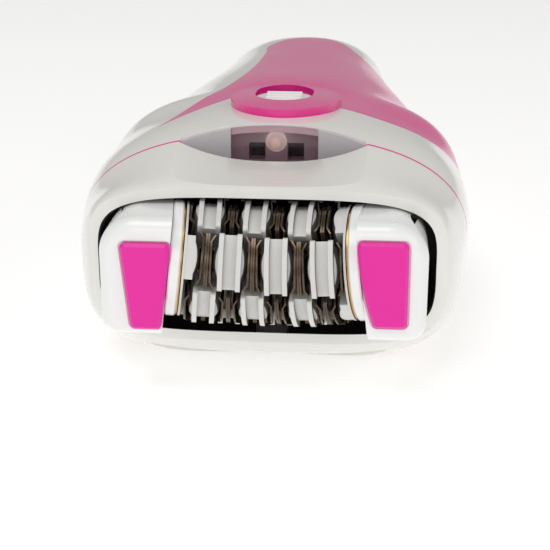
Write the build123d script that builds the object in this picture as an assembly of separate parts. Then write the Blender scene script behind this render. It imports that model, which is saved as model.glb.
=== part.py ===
from build123d import *
import os
from math import atan, cos, degrees, pi, radians, sin, sqrt, tan

# Hand-held epilator lying on its back: X across the head, +Y from the tweezer drum to the
# charging jack, +Z up out of the front face. Millimetres. Pieces are built about the middle
# of the drum axle and moved at the end, so that the origin is at the bottom centre.

# ---- outer body ---------------------------------------------------------------------------
nose_y = -1.5               # rim of the head
seam_y = 12.5               # joint between the detachable head and the handle
tail_y = 131.0              # charging end of the handle
rest_z = -20.0              # flat strip of the back that the body lies on
# stations along Y: position, half width, height above the axle, depth below it, and how
# square the section is above and below
body_stations = [
    (nose_y, 28.3, 12.7, 13.0, 4.2, 4.5),
    (2.5, 30.2, 14.6, 17.0, 3.0, 3.6),
    (8.0, 31.6, 16.6, 19.2, 2.4, 3.2),
    (seam_y, 32.3, 17.6, 20.1, 2.4, 3.0),
    (22.0, 33.2, 18.6, 20.5, 2.4, 2.9),
    (34.0, 33.1, 18.4, 20.5, 2.4, 2.7),
    (50.0, 30.4, 18.0, 20.5, 2.4, 2.7),
    (68.0, 26.0, 17.4, 20.5, 2.4, 2.7),
    (92.0, 21.8, 16.2, 20.5, 2.4, 2.7),
    (114.0, 19.6, 15.2, 20.0, 2.4, 2.7),
    (125.0, 17.8, 13.6, 18.6, 2.4, 2.7),
    (129.3, 15.4, 11.4, 16.2, 2.4, 2.7),
    (tail_y, 12.4, 8.6, 13.0, 2.4, 2.7),
]
section_count = 36          # points round a section
wall = 1.6                  # shells
cover_skin = 0.9            # coloured cover over the front shell
gasket_width = 0.5          # coloured seam between head and handle
housing_split = 0.0         # height of the side parting line
scoop_rim_z, scoop_rim_drop, scoop_rim_power = 12.9, 8.0, 6.0
scoop_seam_z, scoop_seam_rise, scoop_seam_power = 13.2, 3.0, 2.5
scoop_half = 34.0           # the dished face is drawn this far to each side
chin_half, chin_front, chin_back, chin_depth = 19.5, 0.4, 9.0, 0.5
eye_half, eye_depth = 15.2, 4.2
eye_lip = 0.8               # grey rim and window inside the edge of the eye
eye_low = 9.0
lip_drop = 0.4              # rim and window below the outer surface
window_half = 7.3
window_play = 0.05
fit_gap = 0.3               # clearance between pieces of different bodies
slide_gap = 0.15            # clearance of a piece that slides in its slot

# ---- tweezer drum -------------------------------------------------------------------------
axle_r = 1.5
axle_bend_r = 80.0          # the fixed axle is bent, so the discs close on one side
drum_x = 0.35               # middle of the drum, off the middle of the head
close_angle = 42.0          # elevation of the closing side, measured from -Y
disc_pitch = 3.93
disc_count = 6
chamber_wall, chamber_fit = 1.0, 0.05
chamber_floor_y = 10.4      # floor of the dark tray behind the drum
drum_end = 13.9             # virtual plane of the end discs, along the axle
axle_half = 21.5
bore_clearance = 0.08
hub_r = 3.4
hub_half = 1.5
disc_half = 1.75
block_in, block_out = 7.6, 9.0
ridge_out = 10.0
ridge_width = 0.75
ridge_round = 0.6
arm_angle = 44.0
block_angle = 55.5
dome_height = 1.0
dome_at = 6.5
dome_sphere = 5.8
twist_start, twist_per_mm = 25.0, 0.34
leaf_t = 0.28
leaf_out = 9.7
leaf_half = 4.3
leaf_waist = 3.55            # half width where the tips begin
leaf_flat_half = 3.1
leaf_stem_half = 1.6
leaf_ring_in, leaf_ring_out = 1.9, 3.3
leaf_flare = 30.0
pair_gap = 0.03
end_plate_t = 0.35
end_plate_r = 9.1
end_gap = 0.1               # from the end disc's face to its virtual plane
washer_t = 0.2
ring_t = 1.7
ring_out, ring_in = 9.2, 6.9

# ---- gear train ---------------------------------------------------------------------------
module = 0.5
pressure_angle = 20.0
backlash = 0.10             # along the pitch circle
mesh_slack = 0.06
drum_teeth, idler_teeth, transfer_teeth = 28, 19, 12
crown_teeth, motor_teeth = 24, 8
gear_width = 2.0
gear_x = -20.2              # middle of the left gear row
boss_r = 3.8
running_gap = 0.05
dog_r, dog_at, dog_count = 0.5, 5.6, 3
dog_depth = 2.2             # pocket for a dog in the end disc
dog_reach = 1.1             # from the end disc's virtual plane to the tip of a dog
shaft_r = 1.0
idler_pin_r = 1.0
motor_shaft_r = 0.75
armature_r = 6.0
crown_face = 1.0
motor_size = (20.0, 25.0, 15.0)

# ---- caps and pads ------------------------------------------------------------------------
cap_gap = 0.1               # between a pressure ring and its cap
cap_half, cap_top, cap_bottom = 25.2, 9.9, 9.3
cap_front, cap_back = -9.7, 4.0
cap_round = 2.4             # front edges
cap_top_round, cap_bottom_round = 6.0, 3.0
cap_wall = 1.0
cap_hole_r = 7.2
pad_t = 0.9
pad_seat = 0.6              # depth of a pad in its cap
pad_recess, pad_margin = 0.35, 0.3
pad_round, pad_bevel = 0.8, 0.45
# pads, looking at the front: outer top, inner top, middle of the inner edge, inner bottom,
# outer bottom
pad_left = [(-21.6, 6.3), (-13.7, 6.3), (-14.6, -0.6), (-15.6, -7.7), (-20.3, -7.7)]
pad_right = [(22.1, 7.3), (14.3, 7.3), (15.2, 0.5), (17.1, -6.4), (22.2, -6.4)]

# ---- handle fittings ----------------------------------------------------------------------
button_y, button_travel = 27.0, 1.2
button_half = (7.0, 4.0)
slider_travel = 4.0
ring_centre = (0.8, 33.0)
ring_axes = (9.8, 12.3)
ring_band = 3.0
ring_raise = 1.4
slider_axes = (5.0, 6.4)
jack_bore_r, jack_bore_length, jack_r, jack_z = 1.75, 11.0, 3.4, -4.6
jack_back = 3.0
led_r, led_z, led_y = 1.5, 14.6, 18.2
led_flange_r, led_length = 1.8, 4.8
holder_half, holder_low, holder_back = 14.2, 10.2, 5.2
lens_x, lens_z, lens_size = 3.3, 12.7, (2.8, 3.0)
board_low, board_t = 11.2, 1.2
board_half, board_start, board_end = 9.5, 30.0, 98.0
board_post_r = 1.6
board_posts = [(-8.0, 56.0), (8.0, 56.0), (-8.0, 92.0), (8.0, 92.0)]
spring_r, spring_wire, spring_turns = 2.4, 0.5, 4
flange_edge, flange_t = 1.5, 1.2
latch_half, latch_t = 2.5, 0.9
cell_r, cell_length, cell_y = 5.2, 44.0, 62.0
screw_r, screw_head_r, screw_head_t = 1.1, 2.0, 1.4
screw_places = [(-15.0, 58.0), (15.0, 58.0), (-10.5, 113.5), (10.5, 113.5)]

os.makedirs("parts", exist_ok=True)
nodes = {}


# ---- helpers ------------------------------------------------------------------------------
def box(x0, x1, y0, y1, z0, z1):
    """Axis-aligned block between two corners."""
    size = Box(x1 - x0, y1 - y0, z1 - z0)
    return Pos((x0 + x1) / 2, (y0 + y1) / 2, (z0 + z1) / 2) * size


def rod_x(x0, x1, y, z, r):
    return Pos((x0 + x1) / 2, y, z) * Rot(0, 90, 0) * Cylinder(r, x1 - x0)


def rod_y(y0, y1, x, z, r):
    return Pos(x, (y0 + y1) / 2, z) * Rot(90, 0, 0) * Cylinder(r, y1 - y0)


def rod_z(z0, z1, x, y, r):
    return Pos(x, y, (z0 + z1) / 2) * Cylinder(r, z1 - z0)


def section_points(a, top, bottom, n_top, n_bottom, inset=0.0):
    """Points of a rounded section that is fuller below than above."""
    points = []
    for i in range(section_count):
        t = 2 * pi * i / section_count
        c, s = cos(t), sin(t)
        n = n_top if s >= 0 else n_bottom
        high = (top if s >= 0 else bottom) - inset
        x = (a - inset) * abs(c) ** (2 / n) * (1 if c >= 0 else -1)
        z = high * abs(s) ** (2 / n) * (1 if s >= 0 else -1)
        points.append((x, z))
    return points


def section_face(y, points):
    plane = Plane(origin=(0, y, 0), x_dir=(1, 0, 0), z_dir=(0, -1, 0))
    outline = Spline(*points, periodic=True)
    return plane * make_face(outline)


def body_solid(inset=0.0):
    """The outer form of the whole body, or the same form taken in by a wall."""
    faces = []
    for y, a, top, bottom, n_top, n_bottom in body_stations:
        faces.append(section_face(y, section_points(a, top, bottom, n_top, n_bottom, inset)))
    solid = loft(faces)
    return solid if inset else solid & box(-60, 60, -10, 160, rest_z, 40)


def slab(y0, y1):
    return box(-60, 60, y0, y1, -40, 40)


def prism_z(points, z0, z1):
    return extrude(Plane.XY.offset(z0) * make_face(Polyline(*points, close=True)), z1 - z0)


def prism_x(points, x0, x1):
    """Extrude an outline given as (y, z) along X."""
    plane = Plane(origin=(x0, 0, 0), x_dir=(0, 1, 0), z_dir=(1, 0, 0))
    return extrude(plane * make_face(Polyline(*points, close=True)), x1 - x0)


def prism_y(points, y0, y1):
    """Extrude an outline given as (x, z) along Y."""
    plane = Plane(origin=(0, y1, 0), x_dir=(1, 0, 0), z_dir=(0, -1, 0))
    return extrude(plane * make_face(Polyline(*points, close=True)), y1 - y0)


# ---- drum geometry ------------------------------------------------------------------------
close_dir = Vector(0, -cos(radians(close_angle)), sin(radians(close_angle)))
across = Vector(1, 0, 0)
bend_centre = across * drum_x + close_dir * axle_bend_r
bend_axis = Axis(origin=bend_centre, direction=across.cross(close_dir))


def axle_plane(s):
    """Plane square to the bent axle at arc length s; its x points to the closing side."""
    turn = s / axle_bend_r
    origin = bend_centre + (across * sin(turn) - close_dir * cos(turn)) * axle_bend_r
    normal = across * cos(turn) + close_dir * sin(turn)
    towards = close_dir * cos(turn) - across * sin(turn)
    return Plane(origin=origin, x_dir=towards, z_dir=normal)


def bent_rod(s0, s1, r):
    profile = axle_plane(s0) * Circle(r)
    return revolve(profile, bend_axis, degrees((s1 - s0) / axle_bend_r))


def sector(r_in, r_out, angle, z0, z1):
    """Ring sector centred on local +X."""
    half = radians(angle / 2)
    mid_out = (r_out, 0)
    mid_in = (r_in, 0)
    ends = [(r * cos(half), side * r * sin(half)) for r in (r_in, r_out) for side in (-1, 1)]
    outline = [
        Line(ends[0], ends[2]),
        ThreePointArc(ends[2], mid_out, ends[3]),
        Line(ends[3], ends[1]),
        ThreePointArc(ends[1], mid_in, ends[0]),
    ]
    return extrude(Plane.XY.offset(z0) * make_face(Curve() + outline), z1 - z0)


def dome():
    """Lens-shaped bulge on the face of an arm, which pushes the leaves apart."""
    ball = Pos(dome_at, 0, disc_half + dome_height - dome_sphere) * Sphere(dome_sphere)
    keep = Cylinder(block_out, 4) - Cylinder(hub_r + 0.4, 4)
    return ball & (Pos(0, 0, disc_half + 2) * keep) & box(3, 10, -4, 4, 0, 4)


def arm_block():
    """One of a disc's three arms with its outer block and ridges."""
    arm = sector(hub_r - 0.4, block_in + 0.4, arm_angle, -disc_half, disc_half)
    solid = arm + sector(block_in, block_out, block_angle, -disc_half, disc_half)
    for side in (-1, 1):
        z0 = side * (disc_half - ridge_width / 2) - ridge_width / 2
        ridge = sector(block_out - 0.3, ridge_out, block_angle, z0, z0 + ridge_width)
        corners = ridge.edges().filter_by(Axis.Z).sort_by(lambda edge: edge.center().length)
        solid += fillet(corners[-2:], ridge_round)
    return solid


def leaf_outline(z0, z1):
    """Plan of one tweezer leaf: a stem at the hub that widens to the tips."""
    right = [(2.2, leaf_stem_half), (4.5, leaf_stem_half)]
    right += [(6.2, leaf_waist), (9.9, leaf_half)]
    left = [(r, -t) for r, t in reversed(right)]
    return prism_z(right + left, z0, z1) & Cylinder(leaf_out, 10)


def leaf_plate():
    """Ring with three leaves that lie on the domes, tips bent back towards their disc."""
    base = disc_half + dome_height
    reach = leaf_half + 0.3
    drop = (reach - leaf_flat_half) * tan(radians(leaf_flare))
    flat = leaf_flat_half
    under = [(-reach, base - drop), (-flat, base), (flat, base), (reach, base - drop)]
    over = [(t, z + leaf_t) for t, z in reversed(under)]
    blade = prism_x(under + over, 5.0, leaf_out) & leaf_outline(0, 5)
    slope = [(2.6, hub_half), (3.3, hub_half), (5.0, base), (5.3, base), (5.3, base + leaf_t)]
    slope += [(4.9, base + leaf_t), (3.15, hub_half + leaf_t), (2.6, hub_half + leaf_t)]
    plane = Plane(origin=(0, leaf_stem_half, 0), x_dir=(1, 0, 0), z_dir=(0, -1, 0))
    stem = extrude(plane * make_face(Polyline(*slope, close=True)), 2 * leaf_stem_half)
    one = blade + stem
    ring = Cylinder(leaf_ring_out, leaf_t) - Cylinder(leaf_ring_in, leaf_t * 2)
    plate = Pos(0, 0, hub_half + leaf_t / 2) * ring
    for i in range(3):
        plate += Rot(0, 0, 120 * i) * one
    return plate


def disc_leaves():
    """All the tweezer leaves of one disc: a plate on each face and three middle pairs."""
    plate = leaf_plate()
    pieces = [plate, mirror(plate, Plane.XY)]
    for i in range(3):
        turn = Rot(0, 0, 60 + 120 * i)
        pieces.append(turn * leaf_outline(pair_gap, pair_gap + leaf_t))
        pieces.append(turn * leaf_outline(-pair_gap - leaf_t, -pair_gap))
    return pieces


def disc_plastic(leaves):
    arm = arm_block() + dome() + mirror(dome(), Plane.XY)
    solid = Cylinder(hub_r, 2 * hub_half)
    for i in range(3):
        solid += Rot(0, 0, 120 * i) * arm
    solid -= Cylinder(axle_r + bore_clearance, 10)
    for leaf in leaves:
        solid -= leaf
    return solid


def end_plastic(leaves):
    """Thin end disc; its half domes stand on arms. Its outer face is just above local z 0."""
    solid = Pos(0, 0, end_gap + end_plate_t / 2) * Cylinder(end_plate_r, end_plate_t)
    solid += Pos(0, 0, (end_gap + hub_half) / 2) * Cylinder(hub_r, hub_half - end_gap)
    pocket = box(dog_at - 1.2, dog_at + 1.2, -0.85, 0.85, 0, dog_depth)
    arm = sector(hub_r - 0.4, block_out, arm_angle, end_gap, disc_half) + dome()
    for i in range(3):
        solid += Rot(0, 0, 120 * i) * arm
    for i in range(dog_count):
        solid -= Rot(0, 0, 120 * i) * pocket
    solid -= Cylinder(axle_r + bore_clearance, 10)
    for leaf in leaves:
        solid -= leaf
    return solid


# ---- gears --------------------------------------------------------------------------------
def gear_outline(teeth, phase):
    """Involute outline with a tooth centred at the angle phase, in degrees."""
    pitch_r = module * teeth / 2
    base_r = pitch_r * cos(radians(pressure_angle))
    tip_r = pitch_r + module * 0.95
    root_r = pitch_r - module * 1.2
    inv_pitch = tan(radians(pressure_angle)) - radians(pressure_angle)
    half_pitch = (pi * module / 2 - backlash) / 2 / pitch_r
    flank_r = max(base_r, root_r)
    radii = [root_r] + [flank_r + (tip_r - flank_r) * i / 4 for i in range(5)]
    points = []
    for k in range(teeth):
        centre = radians(phase) + 2 * pi * k / teeth
        flank = []
        for r in radii:
            roll = sqrt(max(0.0, (r / base_r) ** 2 - 1))
            inv = roll - atan(roll)
            flank.append((r, half_pitch + inv_pitch - inv))
        points += [(r * cos(centre - a), r * sin(centre - a)) for r, a in flank]
        points += [(r * cos(centre + a), r * sin(centre + a)) for r, a in reversed(flank)]
    return make_face(Polyline(*points, close=True))


def spur_gear(teeth, phase, width, bore):
    return extrude(gear_outline(teeth, phase), width / 2, both=True) - Cylinder(bore, width * 2)


def gear_plane(x, y, z):
    """Plane for a gear that turns about X; its angle 0 points along +Y."""
    return Plane(origin=(x, y, z), x_dir=(0, 1, 0), z_dir=(1, 0, 0))


# ---- shells -------------------------------------------------------------------------------
def scoop_cutter(lower=0.0):
    """Everything above the dished face that runs from the rim of the head to the handle."""
    xs = [scoop_half * (i / 10 - 1) for i in range(21)]
    y0, y1 = nose_y - 1.5, seam_y + 0.5
    rim = []
    seam = []
    for x in xs:
        at_rim = min(abs(x) / body_stations[0][1], 1.1)
        drop = scoop_rim_drop * at_rim ** scoop_rim_power
        rise = scoop_seam_rise * (abs(x) / eye_half) ** scoop_seam_power
        rim.append((x, scoop_rim_z - drop - lower))
        seam.append((x, scoop_seam_z + rise - lower))
    faces = []
    for y, points in ((y0, rim), (y1, seam)):
        plane = Plane(origin=(0, y, 0), x_dir=(1, 0, 0), z_dir=(0, -1, 0))
        top = [points[-1], (xs[-1], 60), (xs[0], 60), points[0]]
        faces.append(plane * make_face(Curve() + [Spline(*points), Polyline(*top)]))
    return loft(faces, ruled=True)


outer = body_solid()
inner = body_solid(wall)
skin = body_solid(cover_skin)

head_inner = (inner & box(-60, 60, -10, seam_y, -40, 40)) - scoop_cutter(wall)
head_shell = (outer & slab(nose_y - 1, seam_y)) - scoop_cutter() - head_inner
# shallow lens-shaped recess in the chin, behind the rim
chin_corners = [(chin_half, chin_front), (-chin_half, chin_front)]
chin_plan = make_face(Curve() + [
    Line(chin_corners[1], chin_corners[0]),
    ThreePointArc(chin_corners[0], (0, chin_back), chin_corners[1]),
])
chin_recess = (outer - body_solid(chin_depth)) & extrude(Plane.XY.offset(rest_z - 5) * chin_plan, 15)
nodes["head_shell"] = head_shell - chin_recess

chamber_outer = wall + chamber_fit
chamber_inner = wall + chamber_wall
chamber_back = chamber_floor_y + chamber_wall
chamber = (body_solid(chamber_outer) & slab(0.5, chamber_back)) - scoop_cutter(chamber_outer)
chamber -= (body_solid(chamber_inner) & slab(-5, chamber_floor_y)) - scoop_cutter(chamber_inner)

# ---- drum ---------------------------------------------------------------------------------
axle = bent_rod(-axle_half, axle_half, axle_r)
nodes["drum_axle"] = axle

leaves = disc_leaves()
disc = disc_plastic(leaves)
disc_places = [disc_pitch * (i - (disc_count - 1) / 2) for i in range(disc_count)]
for i, s in enumerate(disc_places):
    turn = twist_start + twist_per_mm * s + (60 if i % 2 == 0 else 0)
    place = axle_plane(s).location * Rot(0, 0, turn)
    nodes[f"tweezer_disc_{i + 1}"] = place * disc
    nodes[f"tweezer_leaves_{i + 1}"] = Compound([place * leaf for leaf in leaves])

end_leaf = leaf_plate()
end_disc = end_plastic([end_leaf])
left_turn = twist_start - twist_per_mm * drum_end
right_turn = twist_start + twist_per_mm * drum_end + 60
left_end = axle_plane(-drum_end).location
right_plane = axle_plane(drum_end)
right_end = Plane(origin=right_plane.origin, x_dir=right_plane.x_dir, z_dir=-right_plane.z_dir).location
for side, place, turn in (("left", left_end, left_turn), ("right", right_end, -right_turn)):
    nodes[f"{side}_end_disc"] = place * Rot(0, 0, turn) * end_disc
    nodes[f"{side}_end_leaves"] = place * Rot(0, 0, turn) * end_leaf


def end_stack(side, place):
    """Fixed washer and pressure ring just outside an end disc, square to the bent axle."""
    washer = Cylinder(ring_out - 0.2, washer_t) - Cylinder(ring_in, washer_t * 2)
    ring = Cylinder(ring_out, ring_t) - Cylinder(ring_in, ring_t * 2)
    ring = chamfer(ring.edges().filter_by(GeomType.CIRCLE).sort_by(SortBy.RADIUS)[-2:], 0.25)
    washer_at = -0.05 - washer_t / 2
    nodes[f"{side}_washer"] = place * Pos(0, 0, washer_at) * washer
    nodes[f"{side}_pressure_ring"] = place * Pos(0, 0, washer_at - washer_t / 2 - ring_t / 2) * ring


end_stack("left", left_end)
end_stack("right", right_end)

# ---- caps, pads and brackets --------------------------------------------------------------
gear_centre = axle_plane(-drum_end).origin
gear_y, gear_z = gear_centre.Y, gear_centre.Z
ring_back = 0.05 + washer_t + ring_t + cap_gap


def cap_form(inset, y0, y1):
    """Block for both caps, which fits the head's opening; its front edges stay sharp."""
    half, top, bottom = cap_half - inset, cap_top - inset, cap_bottom - inset
    block = box(-half, half, y0, y1, -bottom, top)
    sides = block.edges().filter_by(Axis.Y).sort_by(Axis.Z)
    block = fillet(sides[:2], cap_bottom_round - inset)
    sides = block.edges().filter_by(Axis.Y).sort_by(Axis.Z)
    return fillet(sides[-2:], cap_top_round - inset)


def pad_prism(points, margin, y0, y1):
    """Outline of a pad, grown by a margin and extruded along Y."""
    outer_top, inner_top, inner_mid, inner_bottom, outer_bottom = points
    plan = make_face(Curve() + [
        Line(outer_top, inner_top),
        ThreePointArc(inner_top, inner_mid, inner_bottom),
        Polyline(inner_bottom, outer_bottom, outer_top),
    ])
    plan = fillet(plan.vertices(), pad_round)
    if margin:
        plan = offset(plan, margin)
    plane = Plane(origin=(0, y1, 0), x_dir=(1, 0, 0), z_dir=(0, -1, 0))
    return extrude(plane * plan, y1 - y0)


def half_space(place, depth):
    """Everything on the drum's side of the plane that lies depth outside an end disc."""
    return place * Pos(0, 0, 100 - depth) * Box(200, 200, 200)


full_cap = cap_form(0, cap_front, cap_back)
front_edge = full_cap.faces().sort_by(Axis.Y)[0].outer_wire().edges()
full_cap = fillet(front_edge, cap_round)
hollow = cap_form(cap_wall, cap_front + cap_wall, cap_back + 1)
for side, place, sign, pad in (("left", left_end, -1, pad_left), ("right", right_end, 1, pad_right)):
    cap = full_cap & box(min(sign * 10, sign * 40), max(sign * 10, sign * 40), -20, 20, -20, 20)
    cap -= half_space(place, ring_back)
    cap -= hollow - half_space(place, ring_back + cap_wall)
    cap -= place * Cylinder(cap_hole_r, 20)
    cap -= pad_prism(pad, pad_margin, cap_front - 1, cap_front + pad_recess)
    pad_form = pad_prism(pad, 0, cap_front - pad_t, cap_front + pad_seat)
    pad_form = chamfer(pad_form.faces().sort_by(Axis.Y)[0].edges(), pad_bevel)
    nodes[f"{side}_pad"] = pad_form
    nodes[f"{side}_cap"] = cap - pad_form

plate_in, plate_out = -gear_x + gear_width / 2 + 0.4, -gear_x + gear_width / 2 + 1.6
idler_y = gear_y + module * (drum_teeth + idler_teeth) / 2 + mesh_slack
transfer_y = idler_y + module * (idler_teeth + transfer_teeth) / 2 + mesh_slack
plate_back = seam_y - 0.6
plate_points = [(-5.0, -5.5), (3.5, -6.5), (plate_back, -3.0)]
plate_points += [(plate_back, 4.0), (3.5, 6.6), (-5.0, 6.2)]
gear_hole_r = boss_r + running_gap
left_bracket = prism_x(plate_points, -plate_out, -plate_in + 0.1)
left_bracket += rod_x(-plate_in, gear_x + gear_width / 2 + 0.1, gear_y, gear_z, boss_r)
left_bracket += rod_x(-plate_in, gear_x + gear_width / 2, idler_y, gear_z, idler_pin_r)
nodes["left_bracket"] = left_bracket - axle
right_bracket = prism_x(plate_points, plate_in - 0.1, plate_out)
right_bracket += rod_x(-gear_x - gear_width / 2, plate_in, gear_y, gear_z, boss_r)
nodes["right_bracket"] = right_bracket - axle

# ---- gears --------------------------------------------------------------------------------
drum_gear = spur_gear(drum_teeth, 0, gear_width, gear_hole_r)
dog_tip_x = left_end.position.X + dog_reach
dog_angle = 180 - close_angle + left_turn
for i in range(dog_count):
    dog_length = dog_tip_x - gear_x
    dog = Pos(dog_at, 0, dog_length / 2) * Cylinder(dog_r, dog_length)
    drum_gear += Rot(0, 0, dog_angle + 120 * i) * dog
nodes["drum_gear"] = gear_plane(gear_x, gear_y, gear_z).location * drum_gear
idler_gear = spur_gear(idler_teeth, 180 + 180 / idler_teeth, gear_width, idler_pin_r + running_gap)
nodes["idler_gear"] = gear_plane(gear_x, idler_y, gear_z).location * idler_gear
transfer_pinion = spur_gear(transfer_teeth, 180 + 180 / transfer_teeth, gear_width, shaft_r)
nodes["transfer_pinion"] = gear_plane(gear_x, transfer_y, gear_z).location * transfer_pinion

crown_r = module * crown_teeth / 2
crown_x = -module * motor_teeth / 2 - mesh_slack
tooth_low, tooth_high = -module * 1.15, module * 0.9
tooth_half = (pi * module / 2 - backlash) / 2
slope = tan(radians(pressure_angle))
tooth_points = [
    (tooth_low - 0.3, -tooth_half - slope * module),
    (tooth_low - 0.3, tooth_half + slope * module),
    (tooth_high, tooth_half - slope * module),
    (tooth_high, -tooth_half + slope * module),
]
tooth_plane = Plane(origin=(crown_r - crown_face / 2, 0, 0), x_dir=(0, 0, 1), z_dir=(1, 0, 0))
crown_tooth = extrude(tooth_plane * make_face(Polyline(*tooth_points, close=True)), crown_face)
crown = Pos(0, 0, tooth_low - 0.6) * Cylinder(crown_r + 0.6, 1.2)
crown -= Pos(0, 0, tooth_low - 0.6) * Cylinder(shaft_r, 4)
for i in range(crown_teeth):
    crown += Rot(0, 0, 360 / crown_teeth * (i + 0.5)) * crown_tooth
nodes["crown_gear"] = gear_plane(crown_x, transfer_y, gear_z).location * crown
nodes["transfer_shaft"] = rod_x(-plate_out, crown_x - 0.4, transfer_y, gear_z, shaft_r)

pinion_y = transfer_y + crown_r
pinion = spur_gear(motor_teeth, 0, crown_face + 0.4, motor_shaft_r)
pinion_plane = Plane(origin=(0, pinion_y, gear_z), x_dir=(-1, 0, 0), z_dir=(0, 1, 0))
nodes["motor_pinion"] = pinion_plane.location * pinion
motor_y = transfer_y + crown_r + 3.0
motor_w, motor_l, motor_h = motor_size
motor_end = motor_y + motor_l
motor_low, motor_high = gear_z - motor_h / 2, gear_z + motor_h / 2
motor = box(-motor_w / 2, motor_w / 2, motor_y, motor_end, motor_low, motor_high)
motor = fillet(motor.edges().filter_by(Axis.Y), 4.0)
motor -= rod_y(motor_y + 1, motor_end - 1, 0, gear_z, armature_r + 0.4)
motor -= rod_y(motor_y - 1, motor_y + 2, 0, gear_z, motor_shaft_r + running_gap)
nodes["motor_can"] = motor
shaft = rod_y(pinion_y - 0.8, motor_end - 2, 0, gear_z, motor_shaft_r)
nodes["motor_shaft"] = shaft
rotor = rod_y(motor_y + 3, motor_end - 4, 0, gear_z, armature_r)
for i in range(3):
    groove = rod_y(motor_y, motor_end, armature_r, 0, 1.2)
    rotor -= Pos(0, 0, gear_z) * Rot(0, 120 * i + 30, 0) * groove
nodes["motor_armature"] = rotor - shaft


# ---- handle -------------------------------------------------------------------------------
handle_start = seam_y + gasket_width
handle_solid = outer & slab(handle_start, tail_y + 1)
handle_inner = inner & slab(handle_start - 1, tail_y - wall)
handle_shell = handle_solid - handle_inner


def eye_prism(back):
    """Everything in front of the curved upper edge of the eye, moved back by a distance."""
    apex = handle_start + eye_depth
    xs = [eye_half * (i / 4 - 1) for i in range(9)]
    edge = [(x, back + apex - eye_depth * (x / eye_half) ** 2) for x in xs]
    front = [edge[-1], (eye_half, seam_y - 1), (-eye_half, seam_y - 1), edge[0]]
    plan = make_face(Curve() + [Spline(*edge), Polyline(*front)])
    return extrude(Plane.XY.offset(eye_low) * plan, 20)


eye_cut = eye_prism(0)
eye_seat = eye_prism(eye_lip)

gasket = (outer & slab(seam_y, handle_start)) - (body_solid(wall) & slab(seam_y - 1, handle_start + 1))
nodes["seam_gasket"] = gasket - eye_seat - scoop_cutter()

# coloured cover: everything on the front face above its lower edge, with a tail to the left
cover_edge = [(34.0, 33.0), (28.0, 30.0), (23.0, 28.2), (18.0, 27.8), (13.0, 29.5), (9.0, 31.0)]
cover_left = [(-9.2, 39.0), (-14.3, 31.0), (-21.0, 23.5)]
cover_upper = [(-21.0, 23.5), (-18.7, 29.0), (-15.0, 40.0), (-11.0, 55.0), (-8.5, 75.0)]
cover_upper.append((-8.0, 100.0))
cover_tail = [(-8.0, 100.0), (-6.0, 112.0), (0.0, 118.0), (10.0, 112.0)]
cover_side = [(10.0, 112.0), (34.0, 60.0), (34.0, 33.0)]
cover_plan = make_face(Curve() + [
    Spline(*cover_edge),
    Line(cover_edge[-1], cover_left[0]),
    Spline(*cover_left),
    Spline(*cover_upper),
    Spline(*cover_tail),
    Polyline(*cover_side),
])
cover_prism = extrude(Plane.XY.offset(3.0) * cover_plan, 40)
ring_x, ring_y = ring_centre
ring_outer = Pos(ring_x, ring_y, 0) * Ellipse(*ring_axes)
slider_x, slider_y = ring_x - 0.4, ring_y + 0.8
slot_half, slot_long = slider_axes[0] + slide_gap, slider_axes[1] + slide_gap
ring_opening = Pos(slider_x, slider_y, 0) * Ellipse(slot_half, slot_long)
slot_plan = ring_opening + Pos(0, slider_travel) * ring_opening
slot_plan += Pos(slider_x, slider_y + slider_travel / 2) * Rectangle(2 * slot_half, slider_travel)
slot = extrude(Plane.XY.offset(10.0) * slot_plan, 20)
ring_column = extrude(Plane.XY.offset(10.0) * ring_outer, 20)
raised = (body_solid(-ring_raise) & ring_column) - slot
cover = (((outer - skin) & (cover_prism + ring_column)) + (raised - skin)) - slot
nodes["front_cover"] = cover & slab(handle_start + 2, tail_y)

front_half = box(-60, 60, handle_start, tail_y + 1, housing_split, 40)
front_housing = handle_shell & front_half
front_housing -= ((outer - skin) & (cover_prism + ring_column))
front_housing -= eye_seat
nodes["front_housing"] = front_housing - slot
rear_housing = handle_shell & box(-60, 60, handle_start, tail_y + 1, -40, housing_split)


# screws from the back, in bosses that meet at the parting line
boss_out = screw_head_r + 0.5
head_seat_z = rest_z + 4.2
screw_tip_z = housing_split + 6.0
half_skin = body_solid((cover_skin + wall) / 2)
screws = []
for x, y in screw_places:
    rear_housing += rod_z(-40, housing_split, x, y, boss_out) & outer
    nodes["front_housing"] += rod_z(housing_split, 40, x, y, boss_out) & half_skin
    head = rod_z(head_seat_z - screw_head_t, head_seat_z, x, y, screw_head_r)
    screws.append(head + rod_z(head_seat_z, screw_tip_z, x, y, screw_r))
for x, y in screw_places:
    rear_housing -= rod_z(-40, head_seat_z, x, y, screw_head_r + 0.1)
    rear_housing -= rod_z(-40, 10, x, y, screw_r + 0.1)
    nodes["front_housing"] -= rod_z(-1, screw_tip_z, x, y, screw_r)
nodes["housing_screws"] = Compound(screws)

# circuit board hung from posts under the front shell
board_top = board_low + board_t
for x, y in board_posts:
    nodes["front_housing"] += rod_z(board_top, 40, x, y, board_post_r) & half_skin
board = box(-board_half, board_half, board_start, board_end, board_low, board_top)
switch_y = ring_y + slider_travel / 2
board += box(-4.0, 4.0, switch_y - 5, switch_y + 5, board_top, board_top + 1.6)
nodes["circuit_board"] = board

# charging jack
jack_start = tail_y - jack_bore_length - jack_back
rear_housing -= rod_y(tail_y - 10, tail_y + 5, 0, jack_z, jack_r)
jack = rod_y(jack_start, tail_y, 0, jack_z, jack_r)
jack += box(-5, 5, jack_start - 1.5, jack_start + 4, jack_z - 4.6, jack_z + 3.2)
nodes["charge_jack"] = jack - rod_y(tail_y - jack_bore_length, tail_y + 1, 0, jack_z, jack_bore_r)

# release button in the back, with its latch arm reaching into the head
half_x, half_y = button_half
inner_floor_z = -(body_stations[4][3] - wall)


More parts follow.
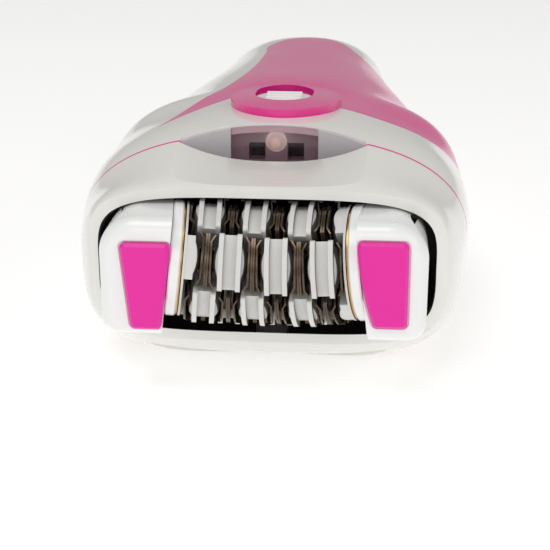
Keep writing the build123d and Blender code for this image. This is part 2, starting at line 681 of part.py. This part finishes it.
def button_block(grow, z0, z1):
    """Plan of the release button, grown all round, between two heights."""
    half_long = half_y + grow
    return box(-half_x - grow, half_x + grow, button_y - half_long, button_y + half_long, z0, z1)


rear_housing -= button_block(fit_gap, rest_z - 10, rest_z + 5)
flange_low = inner_floor_z + 0.4
arm_z = flange_low + flange_t
button = button_block(0, rest_z + 0.4, flange_low + 0.1)
button = fillet(button.edges().filter_by(Axis.Z), 2.0)
button += button_block(flange_edge, flange_low, arm_z)
button += box(-latch_half, latch_half, seam_y - 2.0, button_y, arm_z, arm_z + latch_t)
button += box(-latch_half, latch_half, seam_y - 2.0, seam_y - 0.9, arm_z - 0.5, arm_z)
nodes["release_button"] = button
ledge_y = seam_y - 0.5
ledge = box(-7, 7, ledge_y - 0.3, ledge_y + 0.3, -30, arm_z - 0.8) & body_solid(wall + 0.02)
nodes["latch_ledge"] = ledge

spring_low = arm_z + latch_t
spring_high = motor_low - 4.0
coil_height = spring_high - spring_low - spring_wire
coil = Helix(pitch=coil_height / spring_turns, height=coil_height, radius=spring_r)
start = Plane(origin=coil @ 0, z_dir=coil % 0)
wire = sweep(start * Circle(spring_wire / 2), path=coil)
nodes["release_spring"] = Pos(0, button_y, spring_low + spring_wire / 2) * wire

# gearbox frame: wall in front of the motor, bearing arms for the transfer shaft, spring shelf
frame_y0, frame_y1 = motor_y - 1.7, motor_y - 0.1
arm_half = shaft_r + 1.6
frame_left = -plate_in - 2.4
arm_y0 = transfer_y - arm_half + 0.2
frame = box(frame_left, 13.0, frame_y0, frame_y1, motor_low, motor_high)
for x0, x1 in ((frame_left, -plate_in - 0.3), (-8.0, -5.6)):
    frame += box(x0, x1, arm_y0, frame_y1, gear_z - arm_half, gear_z + arm_half)
frame -= rod_x(-30, 0, transfer_y, gear_z, shaft_r + running_gap)
frame -= rod_y(frame_y0 - 1, frame_y1 + 1, 0, gear_z, 3.2)
frame += box(-12.0, 12.0, frame_y0, button_y + 4, spring_high, spring_high + 1.2)
for x in (-12.0, 10.5):
    frame += box(x, x + 1.5, frame_y0, frame_y1, inner_floor_z + 1.2, motor_low)
nodes["gearbox_frame"] = frame

# battery and its cradle
cell_x, cell_z = cell_r + 0.2, -2.0
cell_low, cell_end = cell_z - cell_r, cell_y + cell_length
cells = [rod_y(cell_y, cell_end, side * cell_x, cell_z, cell_r) for side in (-1, 1)]
tips = [rod_y(cell_end, cell_end + 0.8, side * cell_x, cell_z, 1.8) for side in (-1, 1)]
nodes["battery_cells"] = Compound([cell + tip for cell, tip in zip(cells, tips)])
cradle = box(-2 * cell_r - 0.4, 2 * cell_r + 0.4, cell_y - 2, cell_end + 2.6, cell_low - 1.2, cell_z)
for cell in cells:
    cradle -= cell
cradle -= rod_y(cell_y, cell_end + 1, 0, cell_z, 1.5)
cradle -= box(-9, 9, cell_end - 0.1, cell_end + 1.1, cell_low, cell_z + 1)
for y in (cell_y + 2, cell_end - 8):
    cradle += box(-8.5, 8.5, y, y + 3, inner_floor_z + 1.0, cell_low - 1.0)
nodes["battery_cradle"] = cradle

# slider of the speed switch
slider_plan = Pos(slider_x, slider_y) * Ellipse(*slider_axes)
slider = extrude(Plane.XY.offset(board_top + 2.4) * slider_plan, 20) & body_solid(-ring_raise * 0.6)
under_plan = Pos(slider_x, slider_y) * Ellipse(slider_axes[0] + 1.4, slider_axes[1] + 1.4)
slider += extrude(Plane.XY.offset(board_top + 2.2) * under_plan, 1.2)
nodes["speed_slider"] = slider

# lamp that lights the skin, with its holder and the clear window that closes the eye
under_shell = body_solid(wall + 0.1)
face_skin = body_solid(lip_drop)
back_y = led_y + holder_back
holder = box(-holder_half, holder_half, handle_start + 0.2, back_y, holder_low, 30) & under_shell
face = box(-eye_half, eye_half, handle_start + 0.1, back_y, holder_low, 30)
face &= eye_prism(eye_lip - window_play)
holder += (face - eye_cut) & face_skin
holder -= eye_cut
cavity_back = led_y + 2 * led_r - 0.4
holder -= box(-window_half, window_half, seam_y, cavity_back, holder_low + 0.8, 30)
lens_wide, lens_high = lens_size
for side in (-1, 1):
    holder -= Pos(side * lens_x, back_y, lens_z) * Box(lens_wide, 10, lens_high)
centre_y = led_y + led_r
lamp = rod_y(centre_y, led_y + led_length, 0, led_z, led_r) + Pos(0, centre_y, led_z) * Sphere(led_r)
lamp += rod_y(cavity_back - 0.6, cavity_back, 0, led_z, led_flange_r)
nodes["led_lamp"] = lamp
nodes["led_holder"] = holder - rod_y(cavity_back - 0.6, back_y + 1, 0, led_z, led_r + 0.02)
pane_half = window_half - window_play
pane = box(-pane_half, pane_half, seam_y, back_y, holder_low + 0.8 + window_play, 30)
pane &= eye_prism(eye_lip - window_play) - eye_cut
nodes["led_window"] = pane & face_skin
lamp_board = box(-6.2, 6.2, back_y + 0.05, back_y + 1.05, holder_low + 0.4, 30)
nodes["lamp_board"] = lamp_board & body_solid(wall + 0.2)

# rest of the head
chamber -= box(-23.4, gear_x + gear_width / 2 + 0.4, chamber_floor_y - 1, seam_y, -7.5, 8.6)
chamber -= box(plate_in - 0.4, plate_out + 0.4, chamber_floor_y - 1, seam_y, -7.5, 8.6)
notch_half, notch_top = latch_half + fit_gap, arm_z + latch_t + button_travel + fit_gap
chamber -= box(-notch_half, notch_half, chamber_floor_y - 1, seam_y, rest_z, notch_top)
nodes["drum_chamber"] = chamber
guides = [box(side * 26.9 - 0.8, side * 26.9 + 0.8, chamber_back, seam_y + 6, -4, 4) for side in (-1, 1)]
nodes["head_guides"] = Compound(guides)
nodes["rear_housing"] = rear_housing

# ---- export -------------------------------------------------------------------------------
# the pads are the front of the whole object and the tail of the handle its back
low_y, high_y = cap_front - pad_t, tail_y
row_shift = (0.0, -(low_y + high_y) / 2, -rest_z)
for name, shape in nodes.items():
    export_step(Pos(*row_shift) * shape, f"parts/{name}.step")
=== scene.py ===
import bpy
import math
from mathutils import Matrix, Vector


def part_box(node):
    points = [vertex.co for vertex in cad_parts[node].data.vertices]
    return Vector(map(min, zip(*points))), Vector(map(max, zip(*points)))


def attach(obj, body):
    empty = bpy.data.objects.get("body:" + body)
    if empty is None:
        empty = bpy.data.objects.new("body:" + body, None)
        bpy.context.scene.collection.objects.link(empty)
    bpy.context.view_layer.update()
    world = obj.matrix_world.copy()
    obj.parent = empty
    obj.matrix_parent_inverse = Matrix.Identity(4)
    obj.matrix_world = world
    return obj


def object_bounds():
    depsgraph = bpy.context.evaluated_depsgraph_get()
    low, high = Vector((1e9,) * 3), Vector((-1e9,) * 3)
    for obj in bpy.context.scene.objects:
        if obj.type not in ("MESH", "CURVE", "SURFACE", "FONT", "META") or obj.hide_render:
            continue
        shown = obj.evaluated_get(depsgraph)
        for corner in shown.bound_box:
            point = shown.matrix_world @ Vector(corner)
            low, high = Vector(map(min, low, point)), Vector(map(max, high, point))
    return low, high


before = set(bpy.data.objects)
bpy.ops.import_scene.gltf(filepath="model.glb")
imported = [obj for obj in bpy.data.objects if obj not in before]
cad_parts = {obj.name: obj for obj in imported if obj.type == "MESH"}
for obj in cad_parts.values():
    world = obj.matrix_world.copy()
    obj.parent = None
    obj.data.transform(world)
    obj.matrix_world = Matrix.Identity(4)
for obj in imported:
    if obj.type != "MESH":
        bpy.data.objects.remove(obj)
cadLow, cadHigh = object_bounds()
mm = 0.001
print("frame loaded:", len(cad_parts), "nodes")


# ---- small helpers ----
def deselectAll():
    if bpy.context.object and bpy.context.object.mode != "OBJECT":
        bpy.ops.object.mode_set(mode="OBJECT")
    bpy.ops.object.select_all(action="DESELECT")


def addNode(tree, kind, place, **values):
    node = tree.nodes.new(kind)
    node.location = place
    for name, value in values.items():
        if name.startswith("in_"):
            node.inputs[name[3:].replace("_", " ")].default_value = value
        else:
            setattr(node, name, value)
    return node


# ---- shared shader groups ----
def makeGroup(name, inputs, outputs):
    group = bpy.data.node_groups.new(name, "ShaderNodeTree")
    for label, kind, value in inputs:
        socket = group.interface.new_socket(label, in_out="INPUT", socket_type=kind)
        socket.default_value = value
    for label, kind in outputs:
        group.interface.new_socket(label, in_out="OUTPUT", socket_type=kind)
    group.nodes.new("NodeGroupInput").location = (-900, 0)
    group.nodes.new("NodeGroupOutput").location = (700, 0)
    return group


def ends(group):
    return group.nodes["Group Input"].outputs, group.nodes["Group Output"].inputs


def mouldedGroup():
    # colour drift, fine spark-eroded grain and a slow sink-mark waviness of injection mouldings
    group = makeGroup(
        "mouldedSkin",
        [("Color", "NodeSocketColor", (1, 1, 1, 1)), ("Deep Color", "NodeSocketColor", (0.8, 0.8, 0.8, 1)),
         ("Drift", "NodeSocketFloat", 0.1), ("Grain Scale", "NodeSocketFloat", 2500.0),
         ("Roughness", "NodeSocketFloat", 0.3), ("Smudge", "NodeSocketFloat", 0.08)],
        [("Color", "NodeSocketColor"), ("Roughness", "NodeSocketFloat"), ("Height", "NodeSocketFloat")])
    into, out = ends(group)
    links = group.links
    coords = addNode(group, "ShaderNodeTexCoord", (-900, -300))
    cloud = addNode(group, "ShaderNodeTexNoise", (-600, 200), in_Scale=55.0, in_Detail=3.0, in_Roughness=0.5)
    links.new(coords.outputs["Object"], cloud.inputs["Vector"])
    amount = addNode(group, "ShaderNodeMath", (-350, 200), operation="MULTIPLY")
    links.new(cloud.outputs["Fac"], amount.inputs[0])
    links.new(into["Drift"], amount.inputs[1])
    mix = addNode(group, "ShaderNodeMix", (-100, 200), data_type="RGBA")
    links.new(amount.outputs[0], mix.inputs["Factor"])
    links.new(into["Color"], mix.inputs[6])
    links.new(into["Deep Color"], mix.inputs[7])
    links.new(mix.outputs[2], out["Color"])
    smear = addNode(group, "ShaderNodeTexNoise", (-600, -50), in_Scale=140.0, in_Detail=4.0, in_Roughness=0.6)
    links.new(coords.outputs["Object"], smear.inputs["Vector"])
    centred = addNode(group, "ShaderNodeMath", (-350, -50), operation="SUBTRACT")
    links.new(smear.outputs["Fac"], centred.inputs[0])
    centred.inputs[1].default_value = 0.5
    scaled = addNode(group, "ShaderNodeMath", (-150, -50), operation="MULTIPLY")
    links.new(centred.outputs[0], scaled.inputs[0])
    links.new(into["Smudge"], scaled.inputs[1])
    added = addNode(group, "ShaderNodeMath", (50, -50), operation="ADD", use_clamp=True)
    links.new(scaled.outputs[0], added.inputs[0])
    links.new(into["Roughness"], added.inputs[1])
    links.new(added.outputs[0], out["Roughness"])
    grain = addNode(group, "ShaderNodeTexNoise", (-350, -300), in_Detail=2.0, in_Roughness=0.6)
    links.new(coords.outputs["Object"], grain.inputs["Vector"])
    links.new(into["Grain Scale"], grain.inputs["Scale"])
    links.new(grain.outputs["Fac"], out["Height"])
    return group


def brushedGroup():
    # streaks of rolled strip: noise stretched along one direction
    group = makeGroup(
        "rolledMetal",
        [("Color", "NodeSocketColor", (0.6, 0.6, 0.6, 1)), ("Tint", "NodeSocketColor", (0.4, 0.3, 0.2, 1)),
         ("Streak Scale", "NodeSocketFloat", 900.0), ("Roughness", "NodeSocketFloat", 0.3)],
        [("Color", "NodeSocketColor"), ("Roughness", "NodeSocketFloat"), ("Height", "NodeSocketFloat")])
    into, out = ends(group)
    links = group.links
    coords = addNode(group, "ShaderNodeTexCoord", (-900, -300))
    stretch = addNode(group, "ShaderNodeMapping", (-700, -200))
    stretch.inputs["Scale"].default_value = (1.0, 0.12, 0.12)
    links.new(coords.outputs["Object"], stretch.inputs["Vector"])
    streak = addNode(group, "ShaderNodeTexNoise", (-450, -100), in_Detail=4.0, in_Roughness=0.65)
    links.new(stretch.outputs[0], streak.inputs["Vector"])
    links.new(into["Streak Scale"], streak.inputs["Scale"])
    stain = addNode(group, "ShaderNodeTexNoise", (-450, 200),
                    in_Scale=420.0, in_Detail=3.0, in_Roughness=0.55)
    links.new(coords.outputs["Object"], stain.inputs["Vector"])
    mix = addNode(group, "ShaderNodeMix", (-100, 200), data_type="RGBA")
    links.new(stain.outputs["Fac"], mix.inputs["Factor"])
    links.new(into["Color"], mix.inputs[6])
    links.new(into["Tint"], mix.inputs[7])
    links.new(mix.outputs[2], out["Color"])
    spread = addNode(group, "ShaderNodeMapRange", (-150, -100))
    spread.inputs["To Min"].default_value = -0.08
    spread.inputs["To Max"].default_value = 0.12
    links.new(streak.outputs["Fac"], spread.inputs["Value"])
    added = addNode(group, "ShaderNodeMath", (50, -100), operation="ADD", use_clamp=True)
    links.new(spread.outputs[0], added.inputs[0])
    links.new(into["Roughness"], added.inputs[1])
    links.new(added.outputs[0], out["Roughness"])
    links.new(streak.outputs["Fac"], out["Height"])
    return group


moulded = mouldedGroup()
rolled = brushedGroup()


def newMaterial(name, group, settings, shader):
    material = bpy.data.materials.new(name)
    material.use_nodes = True
    tree = material.node_tree
    principled = tree.nodes["Principled BSDF"]
    skin = addNode(tree, "ShaderNodeGroup", (-500, 100))
    skin.node_tree = group
    for label, value in settings.items():
        skin.inputs[label].default_value = value
    tree.links.new(skin.outputs["Color"], principled.inputs["Base Color"])
    tree.links.new(skin.outputs["Roughness"], principled.inputs["Roughness"])
    bump = addNode(tree, "ShaderNodeBump", (-250, -200))
    bump.inputs["Strength"].default_value = shader.pop("bumpStrength", 0.1)
    bump.inputs["Distance"].default_value = shader.pop("bumpDepth", 0.00002)
    tree.links.new(skin.outputs["Height"], bump.inputs["Height"])
    tree.links.new(bump.outputs[0], principled.inputs["Normal"])
    for label, value in shader.items():
        principled.inputs[label].default_value = value
    return material


# screen value of a finish, 0 to 255, to the shader's linear colour
def tone(red, green, blue):
    def linear(value):
        value = value / 255
        return value / 12.92 if value <= 0.04045 else ((value + 0.055) / 1.055) ** 2.4
    return (linear(red), linear(green), linear(blue), 1.0)


finishes = {
    "shellWhite": dict(group=moulded, skin={
        "Color": tone(240, 239, 234), "Deep Color": tone(226, 225, 219), "Drift": 0.35,
        "Grain Scale": 1400.0, "Roughness": 0.16, "Smudge": 0.10},
        shader={"Coat Weight": 0.55, "Coat Roughness": 0.08, "IOR": 1.49, "bumpStrength": 0.06,
                "Subsurface Weight": 0.05, "Subsurface Scale": 0.001}),
    "capWhite": dict(group=moulded, skin={
        "Color": tone(247, 248, 247), "Deep Color": tone(236, 238, 237), "Drift": 0.3,
        "Grain Scale": 1700.0, "Roughness": 0.26, "Smudge": 0.10},
        shader={"Coat Weight": 0.35, "Coat Roughness": 0.12, "bumpStrength": 0.07}),
    "pink": dict(group=moulded, skin={
        "Color": tone(240, 40, 150), "Deep Color": tone(226, 20, 132), "Drift": 0.5,
        "Grain Scale": 1300.0, "Roughness": 0.24, "Smudge": 0.10},
        shader={"Coat Weight": 0.45, "Coat Roughness": 0.10, "bumpStrength": 0.06}),
    "padPink": dict(group=moulded, skin={
        "Color": tone(242, 16, 168), "Deep Color": tone(218, 4, 142), "Drift": 0.5,
        "Grain Scale": 2600.0, "Roughness": 0.42, "Smudge": 0.12},
        shader={"bumpStrength": 0.25, "bumpDepth": 0.00003, "Sheen Weight": 0.15}),
    "discWhite": dict(group=moulded, skin={
        "Color": tone(226, 225, 222), "Deep Color": tone(204, 203, 200), "Drift": 0.5,
        "Grain Scale": 2200.0, "Roughness": 0.38, "Smudge": 0.12},
        shader={"bumpStrength": 0.12, "Subsurface Weight": 0.08, "Subsurface Scale": 0.0008}),
    "dark": dict(group=moulded, skin={
        "Color": tone(34, 32, 34), "Deep Color": tone(16, 15, 18), "Drift": 0.6,
        "Grain Scale": 1800.0, "Roughness": 0.5, "Smudge": 0.15},
        shader={"bumpStrength": 0.3}),
    "grey": dict(group=moulded, skin={
        "Color": tone(206, 200, 204), "Deep Color": tone(188, 182, 187), "Drift": 0.4,
        "Grain Scale": 1800.0, "Roughness": 0.35, "Smudge": 0.12},
        shader={"bumpStrength": 0.12}),
    "acetal": dict(group=moulded, skin={
        "Color": tone(238, 232, 214), "Deep Color": tone(222, 214, 192), "Drift": 0.4,
        "Grain Scale": 1600.0, "Roughness": 0.4, "Smudge": 0.12},
        shader={"bumpStrength": 0.1}),
    "boardGreen": dict(group=moulded, skin={
        "Color": tone(26, 92, 52), "Deep Color": tone(14, 66, 38), "Drift": 0.8,
        "Grain Scale": 900.0, "Roughness": 0.4, "Smudge": 0.15},
        shader={"bumpStrength": 0.15}),
    "cellWrap": dict(group=moulded, skin={
        "Color": tone(38, 84, 150), "Deep Color": tone(26, 62, 120), "Drift": 0.5,
        "Grain Scale": 700.0, "Roughness": 0.3, "Smudge": 0.12},
        shader={"bumpStrength": 0.1}),
    "leafSteel": dict(group=rolled, skin={
        "Color": tone(126, 110, 92), "Tint": tone(58, 46, 36), "Streak Scale": 1600.0, "Roughness": 0.24},
        shader={"Metallic": 1.0, "bumpStrength": 0.15}),
    "plainSteel": dict(group=rolled, skin={
        "Color": tone(190, 188, 186), "Tint": tone(150, 146, 142), "Streak Scale": 900.0, "Roughness": 0.25},
        shader={"Metallic": 1.0, "bumpStrength": 0.1}),
    "brass": dict(group=rolled, skin={
        "Color": tone(222, 180, 98), "Tint": tone(176, 132, 62), "Streak Scale": 900.0, "Roughness": 0.25},
        shader={"Metallic": 1.0, "bumpStrength": 0.1}),
}
materials = {}
for name, finish in finishes.items():
    materials[name] = newMaterial(name, finish["group"], finish["skin"], dict(finish["shader"]))


# painted shade: faces of the discs that look sideways (world normal along X) are mixed towards a greyer tone
# than the blocks' fronts, standing in for the shade those flanks fall into
def paintFlankShade(material, colour, start, full):
    tree = material.node_tree
    principled = tree.nodes["Principled BSDF"]
    skin = principled.inputs["Base Color"].links[0].from_socket
    geometry = addNode(tree, "ShaderNodeNewGeometry", (-900, 500))
    split = addNode(tree, "ShaderNodeSeparateXYZ", (-700, 500))
    side = addNode(tree, "ShaderNodeMath", (-550, 500), operation="ABSOLUTE")
    spread = addNode(tree, "ShaderNodeMapRange", (-400, 500), interpolation_type="SMOOTHSTEP")
    spread.inputs["From Min"].default_value = start
    spread.inputs["From Max"].default_value = full
    mix = addNode(tree, "ShaderNodeMix", (-200, 400), data_type="RGBA")
    mix.inputs[7].default_value = colour
    tree.links.new(geometry.outputs["Normal"], split.inputs[0])
    tree.links.new(split.outputs["X"], side.inputs[0])
    tree.links.new(side.outputs[0], spread.inputs["Value"])
    tree.links.new(spread.outputs[0], mix.inputs["Factor"])
    tree.links.new(skin, mix.inputs[6])
    tree.links.new(mix.outputs[2], principled.inputs["Base Color"])


# painted shade on the discs' sideways-facing flanks and domes
paintFlankShade(materials["discWhite"], tone(122, 117, 112), 0.25, 0.8)


# thin clear plastic: seen straight through, with a reflection that grows at a grazing view
def paneMaterial(name, colour, roughness):
    material = bpy.data.materials.new(name)
    material.use_nodes = True
    tree = material.node_tree
    tree.nodes.remove(tree.nodes["Principled BSDF"])
    through = addNode(tree, "ShaderNodeBsdfTransparent", (-200, 100))
    through.inputs["Color"].default_value = colour
    mirror = addNode(tree, "ShaderNodeBsdfGlossy", (-200, -100))
    fresnel = addNode(tree, "ShaderNodeFresnel", (-200, 300), in_IOR=1.49)
    mix = addNode(tree, "ShaderNodeMixShader", (50, 100))
    coords = addNode(tree, "ShaderNodeTexCoord", (-900, -100))
    haze = addNode(tree, "ShaderNodeTexNoise", (-700, -100), in_Scale=700.0, in_Detail=3.0)
    spread = addNode(tree, "ShaderNodeMapRange", (-450, -100))
    spread.inputs["To Min"].default_value = roughness
    spread.inputs["To Max"].default_value = roughness + 0.12
    tree.links.new(coords.outputs["Object"], haze.inputs["Vector"])
    tree.links.new(haze.outputs["Fac"], spread.inputs["Value"])
    tree.links.new(spread.outputs[0], mirror.inputs["Roughness"])
    tree.links.new(fresnel.outputs[0], mix.inputs[0])
    tree.links.new(through.outputs[0], mix.inputs[1])
    tree.links.new(mirror.outputs[0], mix.inputs[2])
    tree.links.new(mix.outputs[0], tree.nodes["Material Output"].inputs["Surface"])
    return material


def lensMaterial(name, colour, roughness, transmission, glow):
    material = bpy.data.materials.new(name)
    material.use_nodes = True
    tree = material.node_tree
    principled = tree.nodes["Principled BSDF"]
    principled.inputs["Base Color"].default_value = colour
    principled.inputs["Transmission Weight"].default_value = transmission
    principled.inputs["IOR"].default_value = 1.45
    principled.inputs["Emission Color"].default_value = colour
    principled.inputs["Emission Strength"].default_value = glow
    coords = addNode(tree, "ShaderNodeTexCoord", (-900, 0))
    haze = addNode(tree, "ShaderNodeTexNoise", (-700, 0), in_Scale=900.0, in_Detail=3.0)
    spread = addNode(tree, "ShaderNodeMapRange", (-450, 0))
    spread.inputs["To Min"].default_value = roughness
    spread.inputs["To Max"].default_value = roughness + 0.1
    tree.links.new(coords.outputs["Object"], haze.inputs["Vector"])
    tree.links.new(haze.outputs["Fac"], spread.inputs["Value"])
    tree.links.new(spread.outputs[0], principled.inputs["Roughness"])
    return material


materials["window"] = paneMaterial("window", tone(252, 240, 245), 0.05)
materials["lampLens"] = lensMaterial("lampLens", tone(255, 252, 240), 0.03, 0.25, 0.15)
materials["lampDie"] = lensMaterial("lampDie", tone(214, 176, 88), 0.3, 0.0, 0.5)

nodeFinish = {
    "head_shell": "shellWhite", "front_housing": "shellWhite", "rear_housing": "shellWhite",
    "left_cap": "capWhite", "right_cap": "capWhite", "left_pad": "padPink", "right_pad": "padPink",
    "front_cover": "pink", "seam_gasket": "pink", "speed_slider": "capWhite",
    "left_pressure_ring": "capWhite", "right_pressure_ring": "capWhite",
    "left_end_disc": "discWhite", "right_end_disc": "discWhite",
    "left_washer": "brass", "right_washer": "brass", "motor_pinion": "brass",
    "drum_chamber": "dark", "left_bracket": "dark", "right_bracket": "dark", "head_guides": "dark",
    "latch_ledge": "dark", "gearbox_frame": "dark", "battery_cradle": "dark", "lamp_board": "dark",
    "led_holder": "grey", "release_button": "grey", "led_window": "window", "led_lamp": "lampLens",
    "drum_gear": "acetal", "idler_gear": "acetal", "transfer_pinion": "acetal", "crown_gear": "acetal",
    "circuit_board": "boardGreen", "battery_cells": "cellWrap",
}
for name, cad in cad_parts.items():
    if name.startswith("tweezer_disc"):
        finish = "discWhite"
    elif "leaves" in name:
        finish = "leafSteel"
    else:
        finish = nodeFinish.get(name, "plainSteel")
    cad.data.materials.clear()
    cad.data.materials.append(materials[finish])
print("finishes given:", len(materials))


# ---- small pieces ----
smoothAngle = math.radians(35)


def finishPiece(piece, name, body, material):
    piece.name = name
    bpy.ops.object.transform_apply(location=True, rotation=True, scale=True)
    bpy.ops.object.shade_smooth_by_angle(angle=smoothAngle)
    piece.data.materials.clear()
    piece.data.materials.append(material)
    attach(piece, body)


# grip ridges across the thumb slider
ridge = dict(width=6.4 * mm, depth=0.55 * mm, height=0.9 * mm, pitch=1.9 * mm, count=3, proud=0.22 * mm,
             bevel=0.2 * mm)
sliderLow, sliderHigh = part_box("speed_slider")
for index in range(ridge["count"]):
    deselectAll()
    along = (index - (ridge["count"] - 1) / 2) * ridge["pitch"]
    place = ((sliderLow[0] + sliderHigh[0]) / 2, (sliderLow[1] + sliderHigh[1]) / 2 + along,
             sliderHigh[2] + ridge["proud"] - ridge["height"] / 2)
    bpy.ops.mesh.primitive_cube_add(size=1.0, location=place)
    piece = bpy.context.object
    piece.scale = (ridge["width"], ridge["depth"], ridge["height"])
    bpy.ops.object.transform_apply(location=False, rotation=False, scale=True)
    rounding = piece.modifiers.new("rounding", "BEVEL")
    rounding.width = ridge["bevel"]
    rounding.segments = 3
    bpy.ops.object.modifier_apply(modifier="rounding")
    finishPiece(piece, f"slider_ridge_{index + 1}", "slider", materials["capWhite"])

# the lamp's yellow die in its little cup, seen through the lens
die = dict(cupRadius=0.95 * mm, rimRadius=0.16 * mm, dieRadius=0.5 * mm, behindTip=0.75 * mm)
lampLow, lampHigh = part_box("led_lamp")
lampMiddle = ((lampLow[0] + lampHigh[0]) / 2, lampLow[1] + die["behindTip"], (lampLow[2] + lampHigh[2]) / 2)
deselectAll()
bpy.ops.mesh.primitive_torus_add(location=lampMiddle, rotation=(math.radians(90), 0, 0),
                                 major_radius=die["cupRadius"], minor_radius=die["rimRadius"],
                                 major_segments=32, minor_segments=10)
finishPiece(bpy.context.object, "lamp_cup", "handle", materials["plainSteel"])
deselectAll()
bpy.ops.mesh.primitive_uv_sphere_add(segments=24, ring_count=12, radius=die["dieRadius"], location=lampMiddle)
finishPiece(bpy.context.object, "lamp_die", "handle", materials["lampDie"])
print("small pieces made")


# ---- camera, floor and light ----
view = dict(elevation=20.65, azimuth=4.34, distance=201.46 * mm, focal=83.07, sensor=36.0, nearest=10 * mm,
            aimFromDrum=(1.364 * mm, -0.570 * mm, -1.783 * mm),
            padFrontFromDrum=10.6 * mm, drumHeight=20.0 * mm)
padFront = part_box("left_pad")[0]
drumCentre = Vector((0.0, padFront[1] + view["padFrontFromDrum"], cadLow[2] + view["drumHeight"]))
elevation, azimuth = math.radians(view["elevation"]), math.radians(view["azimuth"])
back = Vector((math.sin(azimuth) * math.cos(elevation),
               -math.cos(azimuth) * math.cos(elevation),
               math.sin(elevation)))
cameraData = bpy.data.cameras.new("camera")
cameraData.lens = view["focal"]
cameraData.sensor_width = view["sensor"]
cameraData.clip_start = view["nearest"]
camera = bpy.data.objects.new("camera", cameraData)
bpy.context.scene.collection.objects.link(camera)
camera.location = drumCentre + Vector(view["aimFromDrum"]) + back * view["distance"]
camera.rotation_mode = "QUATERNION"
camera.rotation_quaternion = (-back).to_track_quat("-Z", "Y")
bpy.context.scene.camera = camera

table = dict(size=6.0, below=0.2 * mm, tone=(0.92, 0.92, 0.92, 1), roughness=0.8,
             glowTone=(1, 1, 1, 1), glow=0.34)
deselectAll()
bpy.ops.mesh.primitive_plane_add(size=table["size"], location=(0, 0, cadLow[2] - table["below"]))
floor = bpy.context.object
floor.name = "floor"
paper = bpy.data.materials.new("paper")
paper.use_nodes = True
paperShader = paper.node_tree.nodes["Principled BSDF"]
paperShader.inputs["Base Color"].default_value = table["tone"]
paperShader.inputs["Roughness"].default_value = table["roughness"]
paperShader.inputs["Emission Color"].default_value = table["glowTone"]
paperShader.inputs["Emission Strength"].default_value = table["glow"]
floor.data.materials.append(paper)


def softbox(name, place, size, power):
    data = bpy.data.lights.new(name, "AREA")
    data.shape = "RECTANGLE"
    data.size, data.size_y = size
    data.energy = power
    lamp = bpy.data.objects.new(name, data)
    bpy.context.scene.collection.objects.link(lamp)
    lamp.location = place
    direction = drumCentre - Vector(place)
    lamp.rotation_mode = "QUATERNION"
    lamp.rotation_quaternion = direction.to_track_quat("-Z", "Y")


softbox("keyLight", place=(-0.15, -0.35, 0.75), size=(0.5, 0.4), power=2.0)
softbox("fillLight", place=(0.7, -0.5, 0.45), size=(0.5, 0.5), power=0.9)
softbox("frontLight", place=(0.0, -0.6, 0.25), size=(0.35, 0.2), power=0.3)
room = dict(tone=(1.0, 0.99, 0.97, 1), strength=0.42)
world = bpy.data.worlds.new("world")
bpy.context.scene.world = world
world.use_nodes = True
world.node_tree.nodes["Background"].inputs["Color"].default_value = room["tone"]
world.node_tree.nodes["Background"].inputs["Strength"].default_value = room["strength"]
bpy.context.scene.view_settings.view_transform = "Standard"
print("camera and light ready")
